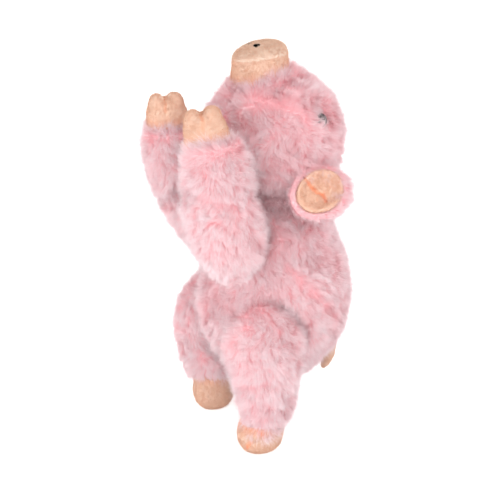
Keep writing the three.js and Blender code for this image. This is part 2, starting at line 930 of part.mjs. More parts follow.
for (const { name, sign } of sides) {
  const mirrored = sign < 0;
  const armPose = armPoses[name];
  const legPose = legPoses[name];
  piece(head, `nostril_${name}`, pair.nostril, "thread", mirrored);
  piece(head, `eye_${name}`, pair.eye, "eye", mirrored);
  piece(head, `eye_washer_${name}`, pair.washer, "washer", mirrored);

  const ear = jointGroup(head, vector(sign * earRoot.x, earRoot.y, earRoot.z));
  piece(ear, `ear_${name}`, pair.ear, "plush", mirrored);
  piece(ear, `ear_${name}_lining`, pair.lining, "velour", mirrored);

  const arm = jointGroup(trunk, vector(sign * shoulderOut, shoulderBack, shoulderHigh));
  piece(arm, `front_leg_${name}`, armSkin(armPose), "plush", mirrored);
  piece(arm, `front_leg_${name}_stuffing`, armStuffing(armPose), "fill", mirrored);
  piece(arm, `front_hoof_${name}`, frontHoof(armPose), "velour", mirrored);

  const leg = jointGroup(trunk, vector(sign * hipOut, hipBack, hipHigh));
  piece(leg, `hind_leg_${name}`, legSkin(legPose), "plush", mirrored);
  piece(leg, `hind_leg_${name}_stuffing`, legStuffing(legPose), "fill", mirrored);
  piece(leg, `hind_hoof_${name}`, hindHoof(legPose.seam), "velour", mirrored);
}

export default pig;
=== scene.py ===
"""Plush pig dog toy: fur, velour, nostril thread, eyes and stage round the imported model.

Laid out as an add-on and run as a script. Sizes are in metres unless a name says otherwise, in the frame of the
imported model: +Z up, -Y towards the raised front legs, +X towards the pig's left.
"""

import functools
import json
import math

import bmesh
import bpy
import numpy as np
from mathutils import Matrix, Vector, noise
from mathutils.bvhtree import BVHTree
from mathutils.kdtree import KDTree

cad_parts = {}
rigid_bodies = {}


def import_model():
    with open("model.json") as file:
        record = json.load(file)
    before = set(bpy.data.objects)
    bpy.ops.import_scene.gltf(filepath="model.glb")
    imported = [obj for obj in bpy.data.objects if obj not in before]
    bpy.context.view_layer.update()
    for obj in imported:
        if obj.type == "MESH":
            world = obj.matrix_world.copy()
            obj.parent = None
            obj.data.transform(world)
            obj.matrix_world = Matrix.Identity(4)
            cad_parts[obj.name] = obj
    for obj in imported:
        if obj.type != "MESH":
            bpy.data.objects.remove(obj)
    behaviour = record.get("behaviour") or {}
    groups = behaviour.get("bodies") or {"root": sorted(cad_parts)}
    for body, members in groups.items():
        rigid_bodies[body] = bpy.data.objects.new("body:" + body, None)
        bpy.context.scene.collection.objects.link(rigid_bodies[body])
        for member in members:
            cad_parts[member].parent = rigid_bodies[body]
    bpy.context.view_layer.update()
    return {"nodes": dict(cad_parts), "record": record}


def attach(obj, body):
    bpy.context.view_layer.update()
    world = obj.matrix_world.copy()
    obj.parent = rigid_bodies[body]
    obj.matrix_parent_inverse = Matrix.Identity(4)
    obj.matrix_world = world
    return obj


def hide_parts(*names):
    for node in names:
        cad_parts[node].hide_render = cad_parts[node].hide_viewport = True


bl_info = {
    "name": "Plush Pig Dog Toy",
    "version": (1, 0, 0),
    "blender": (4, 5, 0),
    "location": "3D View > Sidebar > Pig",
    "description": "Dresses the packed pig in plush, velour and thread",
    "category": "Object",
}

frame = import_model()
NODES = frame["nodes"]
MM = 0.001
# How much a mesh is drawn in and back out in each round of smoothing
SMOOTH_IN, SMOOTH_OUT = 0.5, -0.5 * 1.03
# Voxels that stuffed plush, hooves and snout, thin velour, ears and the simulated bags are remeshed with
PLUSH_VOXEL, VELOUR_VOXEL, THIN_VOXEL, EAR_VOXEL, BAG_VOXEL = 2.4 * MM, 0.9 * MM, 0.7 * MM, 1.4 * MM, 5.0 * MM
BAG_FRAMES = 20
SIDES = (("left", 1), ("right", -1))
NOISE_SEED = 3


# Properties


def number_of(name, description, default):
    return bpy.props.FloatProperty(name=name, description=description, default=default)


def length_of(name, description, default):
    return bpy.props.FloatProperty(name=name, description=description, default=default, unit="LENGTH")


def angle_of(name, description, degrees):
    return bpy.props.FloatProperty(name=name, description=description, default=math.radians(degrees), subtype="ANGLE")


def colour_of(name, description, default):
    return bpy.props.FloatVectorProperty(name=name, description=description, default=default, subtype="COLOR")


class PigPlush(bpy.types.PropertyGroup):
    """The long pile of body, head, legs and ears"""

    pile: length_of("Pile", "Length of the plush hairs", 7.2 * MM)
    root_depth: length_of("Root depth", "How far the cloth lies under the mean height of the pile", 1.6 * MM)
    density: number_of("Density", "Hairs per square metre of cloth", 5.8e6)
    tuft: length_of("Tuft", "Distance between the tufts that hairs lean into", 3.8 * MM)
    width: length_of("Hair width", "Width of a hair at its root", 0.27 * MM)
    tip: colour_of("Tip", "Colour of the pale hair tips", (0.91, 0.865, 0.88))
    middle: colour_of("Middle", "Colour half way down the hairs", (0.955, 0.74, 0.765))
    root: colour_of("Root", "Colour at the cloth", (0.965, 0.612, 0.645))
    # Tip colour of the warmer hairs: partly the pile's own warmer tone, partly painted shade where the pile is parted
    # and where it lies against other parts
    blush: colour_of("Blush", "Tip colour where the pile is parted", (0.955, 0.64, 0.672))


class PigVelour(bpy.types.PropertyGroup):
    """The short pile of hooves, snout, ear linings and tail"""

    nap: length_of("Nap", "Length of the velour hairs", 1.4 * MM)
    density: number_of("Density", "Hairs per square metre of velour", 5.5e6)
    tuft: length_of("Tuft", "Distance between the tufts that hairs lean into", 2.2 * MM)
    width: length_of("Hair width", "Width of a hair at its root", 0.26 * MM)
    peach: colour_of("Peach", "Colour of the velour", (0.76, 0.56, 0.445))
    # Painted shade: the colour that the folds, creases and seams of the velour are painted with
    deep: colour_of("Deep peach", "Colour in folds and at seams", (0.95, 0.43, 0.24))
    nose: colour_of("Nose", "Colour of the face of the snout", (0.79, 0.665, 0.565))


class PigStage(bpy.types.PropertyGroup):
    """Where the camera stands"""

    turn: angle_of("Turn", "How far the camera stands round from the front towards the pig's left", 63)
    rise: angle_of("Rise", "How far above level the camera stands", 17.5)
    reach: length_of("Reach", "Distance from the camera to the toy", 0.722)
    focal: number_of("Focal length", "Lens of the camera, in mm", 73.66)


# Materials

# The share of light that long hairs and velour hairs let through
FUR_GLOW, NAP_GLOW = 0.5, 0.4


class Wire:
    """A socket that works in plain Python expressions, each of which adds a Math node."""

    def __init__(self, net, socket):
        self.net, self.socket = net, socket

    def beside(self, name):
        """Another output of the same node."""
        return Wire(self.net, self.socket.node.outputs[name])

    def __add__(self, other):
        return self.net.maths("ADD", self, other)

    def __sub__(self, other):
        return self.net.maths("SUBTRACT", self, other)

    def __rsub__(self, other):
        return self.net.maths("SUBTRACT", other, self)

    def __mul__(self, other):
        return self.net.maths("MULTIPLY", self, other)

    def __truediv__(self, other):
        return self.net.maths("DIVIDE", self, other)

    def __rtruediv__(self, other):
        return self.net.maths("DIVIDE", other, self)

    __radd__, __rmul__ = __add__, __mul__


class Net:
    """A node tree that is being built."""

    def __init__(self, tree):
        self.tree = tree

    def node(self, kind, settings=None, *values, out=None, **named):
        """Adds a node, with its settings first and then its sockets, and gives its first output or the named one."""
        made = self.tree.nodes.new(kind)
        for key, value in (settings or {}).items():
            setattr(made, key, value)
        for socket, value in zip(made.inputs, values):
            self.plug(socket, value)
        for key, value in named.items():
            self.plug(next(s for s in made.inputs if s.enabled and s.name == key.replace("_", " ")), value)
        return Wire(self, next((s for s in made.outputs if s.enabled and out in (None, s.name)), None))

    def plug(self, socket, value):
        if isinstance(value, Wire):
            self.tree.links.new(value.socket, socket)
        elif socket.type == "RGBA" and len(value) == 3:
            socket.default_value = (*value, 1)
        else:
            socket.default_value = value

    def maths(self, operation, *values):
        return self.node("ShaderNodeMath", {"operation": operation}, *values)

    def vector(self, operation, *values, **named):
        return self.node("ShaderNodeVectorMath", {"operation": operation}, *values, **named)


class Paint(Net):
    """A material that is being built."""

    def __init__(self, name):
        self.material = bpy.data.materials.new(name)
        self.material.use_nodes = True
        super().__init__(self.material.node_tree)
        self.shader = self.tree.nodes["Principled BSDF"]

    def mix(self, share, first, second):
        """Colour between first and second."""
        return self.node("ShaderNodeMix", {"data_type": "RGBA"}, Factor=share, A=first, B=second)

    def hair_map(self):
        """The two values on a hair's map: its tone, and how far along it the place is."""
        tone = self.node("ShaderNodeSeparateXYZ", None, self.node("ShaderNodeUVMap", {"uv_map": "OFBake"}))
        return tone, tone.beside("Y")

    def cloud(self, size, detail=2.0, rough=0.5):
        """Soft noise whose patches are about size across."""
        place = self.node("ShaderNodeTexCoord", out="Object")
        return self.node("ShaderNodeTexNoise", {"noise_dimensions": "3D"}, Vector=place, Scale=1 / size, Detail=detail,
                         Roughness=rough)

    def span(self, value, low, high, to_low=0.0, to_high=1.0):
        return self.node("ShaderNodeMapRange", None, value, low, high, to_low, to_high)

    def bump(self, height, strength, distance):
        return self.node("ShaderNodeBump", None, Strength=strength, Distance=distance, Height=height, out="Normal")

    def let_through(self, colour, share):
        """Lets a share of the light through, as thin hairs do."""
        through = self.node("ShaderNodeBsdfTranslucent", None, Color=colour)
        both = self.node("ShaderNodeMixShader", None, share, Wire(self, self.shader.outputs[0]), through)
        self.plug(self.tree.nodes["Material Output"].inputs[0], both)

    def finish(self, **sockets):
        for key, value in sockets.items():
            self.plug(self.shader.inputs[key.replace("_", " ")], value)
        return self.material


def fur_paint(plush):
    """Hairs: u of their map runs from pale to blushing, partly their own tone and partly painted shade in creases and
    between parts, v from root to tip.
    """
    paint = Paint("long_pile")
    warmth, along = paint.hair_map()
    lower = paint.mix(paint.span(along, 0.0, 0.55), tuple(plush.root), tuple(plush.middle))
    tip = paint.mix(warmth, tuple(plush.tip), tuple(plush.blush))
    colour = paint.mix(paint.span(along, 0.25, 0.85), lower, tip)
    paint.let_through(colour, FUR_GLOW)
    return paint.finish(Base_Color=colour, Roughness=0.8, Specular_IOR_Level=0.1)


def cloth_paint(plush):
    """The knitted ground under the pile."""
    paint = Paint("plush_ground")
    knit = paint.cloud(0.0012, 3)
    colour = paint.mix(paint.span(knit, 0.35, 0.65), tuple(plush.blush), tuple(plush.middle))
    return paint.finish(Base_Color=colour, Roughness=0.9, Normal=paint.bump(knit, 0.4, 0.0004))


def velour_paint(name, colour, deep):
    """Short pile whose nap catches the light in soft patches, painted as lighter and darker patches with a fine grain,
    and with painted shade in folds, creases and at seams.
    """
    paint = Paint(name)
    nap = paint.cloud(0.0042, 3, 0.6)
    grain = paint.cloud(0.0007, 2)
    shade = paint.span(nap, 0.35, 0.65) * 0.16 + paint.span(grain, 0.3, 0.7) * 0.12
    light = tuple(min(1, c * 1.03 + 0.02) for c in colour)
    soft = tuple(c * (1 - 0.35 * (1 - c)) * 0.92 for c in colour)
    base = paint.mix(shade, light, soft)
    # Painted shade: folds, creases and seams turn towards the shade colour.
    base = paint.mix(paint.node("ShaderNodeAttribute", {"attribute_name": "fold"}, out="Fac"), base, deep)
    height = nap * 0.5 + grain
    return paint.finish(Base_Color=base, Roughness=0.85, Sheen_Weight=0.35, Sheen_Roughness=0.4,
                        Sheen_Tint=(1.0, 0.93, 0.86), Specular_IOR_Level=0.2, Normal=paint.bump(height, 0.35, 0.0006))


def fuzz_paint(name, colour, deep):
    """Velour hairs: u of their map is how much painted shade they carry from folds, creases and seams, v runs from
    root to tip, with painted shade at the root.
    """
    paint = Paint(name)
    warmth, along = paint.hair_map()
    light = tuple(min(1, c * 1.05 + 0.03) for c in colour)
    shade = tuple(c * k for c, k in zip(colour, (0.97, 0.84, 0.76)))
    base = paint.mix(along, shade, light)
    base = paint.mix(warmth, base, deep)
    paint.let_through(base, NAP_GLOW)
    return paint.finish(Base_Color=base, Roughness=0.8, Specular_IOR_Level=0.1)


def plain_paint(name, colour, rough, grain=0.0008, depth=0.00005, **more):
    paint = Paint(name)
    cloud = paint.cloud(grain, 2)
    tone = paint.mix(paint.span(cloud, 0.3, 0.7), tuple(colour), tuple(c * 0.93 for c in colour))
    normal = paint.bump(cloud, 0.3, depth)
    return paint.finish(Base_Color=tone, Roughness=rough, Normal=normal, **more)


MATERIALS = {}


def paint_all():
    scene = bpy.context.scene
    plush, velour = scene.pig_plush, scene.pig_velour
    peach, deep, nose = tuple(velour.peach), tuple(velour.deep), tuple(velour.nose)
    MATERIALS.update(
        fur=fur_paint(plush),
        ground=cloth_paint(plush),
        velour=velour_paint("peach_velour", peach, deep),
        fuzz=fuzz_paint("peach_fuzz", peach, deep),
        nose=velour_paint("nose_velour", nose, deep),
        nose_fuzz=fuzz_paint("nose_fuzz", nose, deep),
        thread=plain_paint("black_thread", (0.002, 0.002, 0.002), 0.6, Specular_IOR_Level=0.0),
        eye=plain_paint("eye_gloss", (0.006, 0.005, 0.006), 0.03, 0.002, 0.000002, Specular_IOR_Level=0.13),
        washer=plain_paint("washer_plastic", (0.85, 0.84, 0.8), 0.5),
        squeaker=plain_paint("squeaker_plastic", (0.88, 0.86, 0.8), 0.4),
    )


# Meshes


def add_object(name, mesh):
    made = bpy.data.objects.new(name, mesh)
    bpy.context.scene.collection.objects.link(made)
    return made


def joined_copy(name, nodes):
    """One object with copies of CAD nodes' meshes, their loose triangles merged."""
    shape = bmesh.new()
    for node in nodes:
        shape.from_mesh(NODES[node].data)
    bmesh.ops.remove_doubles(shape, verts=shape.verts, dist=1e-6)
    mesh = bpy.data.meshes.new(name)
    shape.to_mesh(mesh)
    shape.free()
    return add_object(name, mesh)


def make_plain(piece):
    """Makes what a piece's modifiers give its own plain mesh, and removes them."""
    mesh = bpy.data.meshes.new_from_object(piece.evaluated_get(bpy.context.evaluated_depsgraph_get()))
    old = piece.data
    piece.modifiers.clear()
    piece.data = mesh
    bpy.data.meshes.remove(old)


def applied(piece, *modifiers):
    """Adds modifiers, each (type, settings), and makes the result the piece's plain mesh."""
    for kind, settings in modifiers:
        modifier = piece.modifiers.new(kind.lower(), kind)
        for key, value in settings.items():
            setattr(modifier, key, value)
    make_plain(piece)
    return piece


def vectors_in(items, key):
    vectors = np.empty(len(items) * 3)
    items.foreach_get(key, vectors)
    return vectors.reshape(-1, 3)


def points_of(mesh):
    return vectors_in(mesh.vertices, "co")


def normals_of(mesh):
    return vectors_in(mesh.vertex_normals, "vector")


def coated(mesh, key):
    """Gives a mesh one material and no other."""
    mesh.materials.clear()
    mesh.materials.append(MATERIALS[key])


def hand_over(piece, body, slot, *nodes):
    """Says which body a piece rides and which CAD nodes it stands for, whose meshes it hides. slot, what it is made
    of, is not used.
    """
    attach(piece, body)
    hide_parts(*nodes)


def remove(piece):
    mesh = piece.data
    bpy.data.objects.remove(piece)
    bpy.data.meshes.remove(mesh)


def move_points(mesh, points):
    mesh.vertices.foreach_set("co", points.astype(np.float32).ravel())
    mesh.update()


def averaging(mesh):
    """A function that gives the mean of some values over each point's neighbours."""
    edges = np.empty(len(mesh.edges) * 2, int)
    mesh.edges.foreach_get("vertices", edges)
    first, second = edges.reshape(-1, 2).T
    count = np.maximum(np.bincount(edges, minlength=len(mesh.vertices)), 1)[:, None]

    def mean(values):
        total = np.zeros_like(values)
        np.add.at(total, first, values[second])
        np.add.at(total, second, values[first])
        return total / count

    return mean


def averaged(mesh, values, rounds):
    """Values of a mesh's points, each replaced by the mean over its neighbours, again and again."""
    mean = averaging(mesh)
    soft = np.array(values, float).reshape(len(values), -1)
    for _ in range(rounds):
        soft = mean(soft)
    return soft


def relaxed(mesh, rounds):
    """Evens a mesh out by drawing each point towards its neighbours, and back out a little so it keeps its size."""
    mean = averaging(mesh)
    points = points_of(mesh)
    for _ in range(rounds):
        points += (mean(points) - points) * SMOOTH_IN
        points += (mean(points) - points) * SMOOTH_OUT
    move_points(mesh, points)


def largest_shell(mesh):
    """Drops every closed part but the largest, such as the room round the squeaker."""
    shape = bmesh.new()
    shape.from_mesh(mesh)
    left, shells = set(shape.verts), []
    while left:
        shell = [left.pop()]
        for vert in shell:
            beside = left.intersection(other for edge in vert.link_edges for other in edge.verts)
            left -= beside
            shell += beside
        shells.append(shell)
    shells.sort(key=len)
    bmesh.ops.delete(shape, geom=[v for shell in shells[:-1] for v in shell], context="VERTS")
    shape.to_mesh(mesh)
    shape.free()


def shell_of(name, nodes, voxel, rounds, inset=0.0):
    """The outer form of some CAD nodes as one smooth closed mesh, drawn in by inset, or out where it is negative."""
    piece = applied(joined_copy(name, nodes), ("REMESH", {"mode": "VOXEL", "voxel_size": voxel}))
    mesh = piece.data
    largest_shell(mesh)
    relaxed(mesh, rounds)
    steps = math.ceil(abs(inset) / 0.0015)
    for _ in range(steps):
        move_points(mesh, points_of(mesh) - normals_of(mesh) * inset / steps)
        relaxed(mesh, 2)
    mesh.shade_smooth()
    return piece


def swollen(piece, start, cap):
    """How a filled cloth bag in the form of a piece swells: a coarse copy is simulated as cloth under pressure, and
    its moves, no longer than cap, are carried over to the piece's points."""
    coarse = add_object("bag", piece.data.copy())
    applied(coarse, ("REMESH", {"mode": "VOXEL", "voxel_size": BAG_VOXEL}))
    relaxed(coarse.data, 2)
    before = points_of(coarse.data)
    shrunk = before - normals_of(coarse.data) * start
    move_points(coarse.data, shrunk)
    modifier = coarse.modifiers.new("bag", "CLOTH")
    bag = modifier.settings
    bag.quality = 4
    bag.mass = 0.1
    bag.tension_stiffness = bag.compression_stiffness = 4
    bag.shear_stiffness, bag.bending_stiffness = 2, 0.1
    bag.use_pressure, bag.uniform_pressure_force = True, 110
    bag.effector_weights.gravity = 0
    modifier.collision_settings.use_collision = False
    scene = bpy.context.scene
    modifier.point_cache.frame_start, modifier.point_cache.frame_end = 1, BAG_FRAMES
    for step in range(1, BAG_FRAMES + 1):
        scene.frame_set(step)
    shown = coarse.evaluated_get(bpy.context.evaluated_depsgraph_get())
    after = points_of(shown.data)
    scene.frame_set(1)
    moves = after - before
    far = np.linalg.norm(moves, axis=1, keepdims=True)
    moves *= np.minimum(1, cap / np.maximum(far, 1e-9))
    tree = KDTree(len(before))
    for i, point in enumerate(before):
        tree.insert(point, i)
    tree.balance()
    carried = np.zeros_like(points_of(piece.data))
    for i, point in enumerate(points_of(piece.data)):
        found = [(moves[k], 1 / (reach + 0.5 * MM)) for _, k, reach in tree.find_n(point, 5)]
        carried[i] = sum(move * weight for move, weight in found) / sum(weight for _, weight in found)
    remove(coarse)
    return carried


def solid_tree(nodes):
    """A search tree over the faces of some CAD nodes."""
    points, faces = [], []
    for node in nodes:
        mesh = NODES[node].data
        base = len(points)
        points += [v.co.copy() for v in mesh.vertices]
        faces += [[base + i for i in p.vertices] for p in mesh.polygons]
    return BVHTree.FromPolygons(points, faces)


def distances(points, tree, reach=0.03):
    far = [tree.find_nearest(p, reach)[3] for p in points]
    return np.array([reach if d is None else d for d in far])


def stepped(values, low, high):
    t = np.clip((values - low) / (high - low), 0, 1)
    return t * t * (3 - 2 * t)


def flat(vectors, normals):
    """What is left of vectors along the surface that has these normals."""
    return vectors - normals * np.sum(vectors * normals, axis=1, keepdims=True)


def mirrored(line, sign):
    """Points in mm on the pig's left, as metres on the side with this sign."""
    return np.array(line) * (sign * MM, MM, MM)


def unit(vectors):
    return vectors / np.maximum(np.linalg.norm(vectors, axis=1, keepdims=True), 1e-9)


def swirl(points, size, seed):
    """A smooth field of random directions whose swirls are about size across."""
    shift = Vector((seed * 7.13, seed * 3.7, seed * 5.9))
    return np.array([noise.noise_vector(Vector(p) / size + shift) for p in points])


def lumps(points, size, seed):
    shift = Vector((seed * 4.1, seed * 9.2, seed * 2.3))
    return np.array([noise.noise(Vector(p) / size + shift) for p in points])


def set_attribute(mesh, name, values, kind="FLOAT"):
    made = mesh.attributes.new(name, kind, "POINT")
    made.data.foreach_set("value" if kind == "FLOAT" else "vector", np.asarray(values, np.float32).ravel())


# Hairs

# How far a hair's middle and tip bend over, as shares of its length, and how far its tip leans sideways, as a share
# of its width. A hair with no middle is straight.
BENDS = (
    (0.05, 0.24, 0.0), (0.09, 0.36, 0.3), (0.02, 0.3, -0.3), (None, 0.1, 0.4), (None, -0.05, -0.4), (None, 0.2, 0.0),
)
NAP_BENDS = ((None, 0.15, 0.2),) * len(BENDS)
# Attributes of a cloth that say how its hairs lie
LIE = ("comb", "pile", "cover", "warmth")


def set_lie(mesh, comb, pile, cover, warmth):
    """Writes how the hairs on a cloth lie: which way along it, how long, how close together and how warm in tone, a
    tone that carries painted shade as well.
    """
    set_attribute(mesh, "comb", flat(comb, normals_of(mesh)), "FLOAT_VECTOR")
    set_attribute(mesh, "pile", pile)
    set_attribute(mesh, "cover", cover)
    set_attribute(mesh, "warmth", warmth)


def make_blades(name, bends):
    """Hairs one unit long and wide, each with another bend, as flat blades of three faces."""
    blades = bpy.data.collections.new(name)
    for i, (middle, tip, side) in enumerate(bends):
        points, faces = [(-0.5, 0, 0), (0.5, 0, 0), (side, tip, 1.0)], [(0, 1, 2)]
        if middle is not None:
            points[2:2] = [(-0.38, middle, 0.55), (0.38, middle, 0.55)]
            faces = [(0, 1, 3, 2), (2, 3, 4)]
        mesh = bpy.data.meshes.new(f"{name}_{i}")
        mesh.from_pydata(points, [], faces)
        set_attribute(mesh, "along", [p[2] for p in points])
        blades.objects.link(bpy.data.objects.new(f"{name}_{i}", mesh))
    return blades


def drop_blades(blades):
    for blade in list(blades.objects):
        remove(blade)
    bpy.data.collections.remove(blades)


class Weave(Net):
    """A Geometry Nodes tree that is being built, with a cloth and some named inputs, each (type, default)."""

    def __init__(self, name, inputs):
        super().__init__(bpy.data.node_groups.new(name, "GeometryNodeTree"))
        face = self.tree.interface
        self.keys = {}
        for label, (kind, default) in {"Cloth": ("Geometry", None), **inputs}.items():
            socket = face.new_socket(label, in_out="INPUT", socket_type=f"NodeSocket{kind}")
            self.keys[label] = socket.identifier
            if default is not None:
                socket.default_value = default
        face.new_socket("Hairs", in_out="OUTPUT", socket_type="NodeSocketGeometry")
        entry = self.tree.nodes.new("NodeGroupInput")
        self.given = {label: Wire(self, entry.outputs[label]) for label in self.keys}
        self.exit = self.tree.nodes.new("NodeGroupOutput").inputs[0]

    def named(self, name, kind="FLOAT"):
        return self.node("GeometryNodeInputNamedAttribute", {"data_type": kind}, Name=name)

    def random(self, low, high, seed, kind="FLOAT", **named):
        return self.node("FunctionNodeRandomValue", {"data_type": kind}, Min=low, Max=high, Seed=seed, **named)

    def store(self, geometry, name, value, kind, domain):
        return self.node("GeometryNodeStoreNamedAttribute", {"data_type": kind, "domain": domain}, Geometry=geometry,
                         Name=name, Value=value)


@functools.cache
def hair_tree():
    """Hairs on a cloth that carries pile, cover, comb and warmth: they stand on it, lean with the comb and gather
    into tufts."""
    weave = Weave("pile", {
        "Blades": ("Collection", None),
        "Material": ("Material", None),
        "Density": ("Float", 1e6),
        "Tuft": ("Float", 0.003),
        "Length": ("Float", 0.008),
        "Width": ("Float", 0.0004),
        "Gather": ("Float", 0.5),
        "Stray": ("Float", 0.28),
        "Guard": ("Float", 0.24),
        "Seed": ("Int", 1),
    })
    given = weave.given
    cloth, seed = given["Cloth"], given["Seed"]
    roots = weave.node("GeometryNodeDistributePointsOnFaces", {"distribute_method": "RANDOM"}, Mesh=cloth,
                       Density=given["Density"] * weave.named("cover"), Seed=seed)
    tufts = weave.node("GeometryNodeDistributePointsOnFaces", {"distribute_method": "POISSON"}, Mesh=cloth,
                       Distance_Min=given["Tuft"], Density_Max=4e5, Seed=seed)
    here = weave.node("GeometryNodeInputPosition")
    tuft = weave.node("GeometryNodeSampleNearest", {"domain": "POINT"}, Geometry=tufts)
    middle = weave.node("GeometryNodeSampleIndex", {"data_type": "FLOAT_VECTOR", "domain": "POINT"}, Geometry=tufts,
                        Value=here, Index=tuft)
    # The root points keep the cloth's normal before they become hairs.
    kept = weave.node("GeometryNodeCaptureAttribute", None, roots)
    kept.socket.node.capture_items.new("VECTOR", "Normal")
    weave.plug(kept.socket.node.inputs[1], roots.beside("Normal"))
    length = given["Length"] * weave.named("pile")
    inward = weave.vector("SCALE", weave.vector("SUBTRACT", middle, here), Scale=given["Gather"] / length)
    lean_of_tuft = weave.random((-0.3,) * 3, (0.3,) * 3, 11, "FLOAT_VECTOR", ID=tuft)
    stray = weave.vector("SCALE", weave.random((-1,) * 3, (1,) * 3, 12, "FLOAT_VECTOR"), Scale=given["Stray"])
    # 1 for a guard hair, 0 for the rest
    guard = weave.maths("GREATER_THAN", weave.random(0.0, 1.0, 19), 1 - given["Guard"])
    combed = weave.vector("SCALE", weave.named("comb", "FLOAT_VECTOR"), Scale=1 - guard * 0.6)
    lean = weave.vector("ADD", combed, lean_of_tuft)
    aim = weave.vector("ADD", weave.vector("ADD", kept.beside("Normal"), lean), weave.vector("ADD", inward, stray))
    turn = weave.node("FunctionNodeAxesToRotation", {"primary_axis": "Z", "secondary_axis": "Y"},
                      Primary_Axis=weave.vector("NORMALIZE", aim), Secondary_Axis=weave.vector("ADD", lean, stray))
    blades = weave.node("GeometryNodeCollectionInfo", {"transform_space": "ORIGINAL"}, Collection=given["Blades"],
                        Separate_Children=True, Reset_Children=True)
    tall = length * weave.random(0.62, 1.12, 13) * weave.random(0.78, 1.22, 14, ID=tuft) * (1 + guard * 0.2)
    broad = given["Width"] * weave.random(0.6, 1.35, 15) * (1 - guard * 0.3)
    size = weave.node("ShaderNodeCombineXYZ", None, broad, tall, tall)
    hairs = weave.node("GeometryNodeInstanceOnPoints", None, Points=kept, Instance=blades, Pick_Instance=True,
                       Instance_Index=weave.random(0, len(BENDS) - 1, 16, "INT"), Rotation=turn, Scale=size)
    warmth = weave.named("warmth") + weave.random(-0.24, 0.24, 17) + weave.random(-0.1, 0.1, 18, ID=tuft) - guard * 0.3
    hairs = weave.store(hairs, "tone", warmth, "FLOAT", "INSTANCE")
    hairs = weave.node("GeometryNodeRealizeInstances", None, hairs)
    tone = weave.node("ShaderNodeClamp", None, weave.named("tone"))
    spot = weave.node("ShaderNodeCombineXYZ", None, tone, weave.named("along"))
    hairs = weave.store(hairs, "OFBake", spot, "FLOAT2", "CORNER")
    for name in ("tone", "along", *LIE):
        hairs = weave.node("GeometryNodeRemoveAttribute", None, Geometry=hairs, Name=name)
    weave.plug(weave.exit, weave.node("GeometryNodeSetMaterial", None, Geometry=hairs, Material=given["Material"]))
    return weave


def grow_all(name, cloth, body, slot, parts, seed, **settings):
    """Hairs on a cloth as several plain meshes, one for each sector round the upright axis, since one piece of the
    export has less than 200,000 faces."""
    mesh = cloth.data
    points = points_of(mesh)
    middle = (points.min(0) + points.max(0)) / 2
    turn = np.arctan2(points[:, 1] - middle[1], points[:, 0] - middle[0]) / (2 * math.pi) % 1
    whole, cover = mesh.attributes["cover"].data, np.empty(len(points), np.float32)
    whole.foreach_get("value", cover)
    for part in range(parts):
        here = cover * (np.minimum(turn * parts, parts - 1).astype(int) == part)
        whole.foreach_set("value", here.astype(np.float32))
        label = f"{name}_{part + 1}" if parts > 1 else name
        grow(label, cloth, body, slot, Seed=seed, **settings)
    whole.foreach_set("value", cover)


def grow(name, cloth, body, slot, bends, **settings):
    """Hairs on a cloth as one plain mesh that rides with a body."""
    blades = make_blades("hair", bends)
    hairs = add_object(name, cloth.data.copy())
    modifier = hairs.modifiers.new("pile", "NODES")
    modifier.node_group = hair_tree().tree
    for label, value in {"Blades": blades, **settings}.items():
        modifier[hair_tree().keys[label]] = value
    make_plain(hairs)
    drop_blades(blades)
    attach(hairs, body)


# Plush

# Lines along which the pile is parted and shows its warmer roots, and along which its tips are painted pinker as
# painted shade in the crease: points on the pig's left and reach, in mm
SIDE_CREASE = ([(41.4, -1.0, 138.2), (47.3, 9.8, 124.1), (48.7, 25.0, 107.6), (43.0, 42.0, 92.0)], 5.0)
GROIN = ([(20.0, -34.9, 106.0), (27.0, -29.2, 103.7), (38.0, -20.0, 108.0)], 6.0)
CHEEK = ([(22.8, -12.0, 245.3), (35.6, -0.4, 241.1), (42.9, 14.2, 235.2)], 9.0)
ELBOW = ([(48.7, -63.8, 192.2), (55.5, -55.3, 190.8), (57.9, -44.0, 185.5)], 4.5)
KNEE = ([(40.0, -38.0, 58.0), (52.0, -30.5, 57.0), (57.0, -20.0, 62.0)], 4.5)
# Where the left eye is and how far round it the hairs lean to it, in mm
EYE = ((43.2, 26.1, 232.3), 13.0)
# The swirls in the lie of the pile: size across, strength and step of the seed
SWIRLS = ((0.017, 0.8, 0), (0.008, 0.45, 5))
# How strongly pile leans to a piece that it overlaps or lies against, and the share by which it is longer there
OVERLAP, BESIDE = (1.5, 0.25), (0.9, 0.7)
# How far a bulge looks for a neighbour and the room that it leaves before it
BULGE_REACH, BULGE_GAP = 9 * MM, 1.7 * MM


def stuffed(body, skin, filling, seed, nap, warmth, partings, over, against, **more):
    """A stuffed bag of plush: its CAD nodes, the lie and tone of its pile, the nodes that the pile overlaps and those
    that it lies against. More may be how many meshes its hairs are, the furthest that it bulges, and its eyes."""
    return {"body": body, "skin": skin, "nodes": [skin, filling], "seed": seed, "nap": nap, "warmth": warmth,
            "partings": partings, "over": over, "against": against, **more}


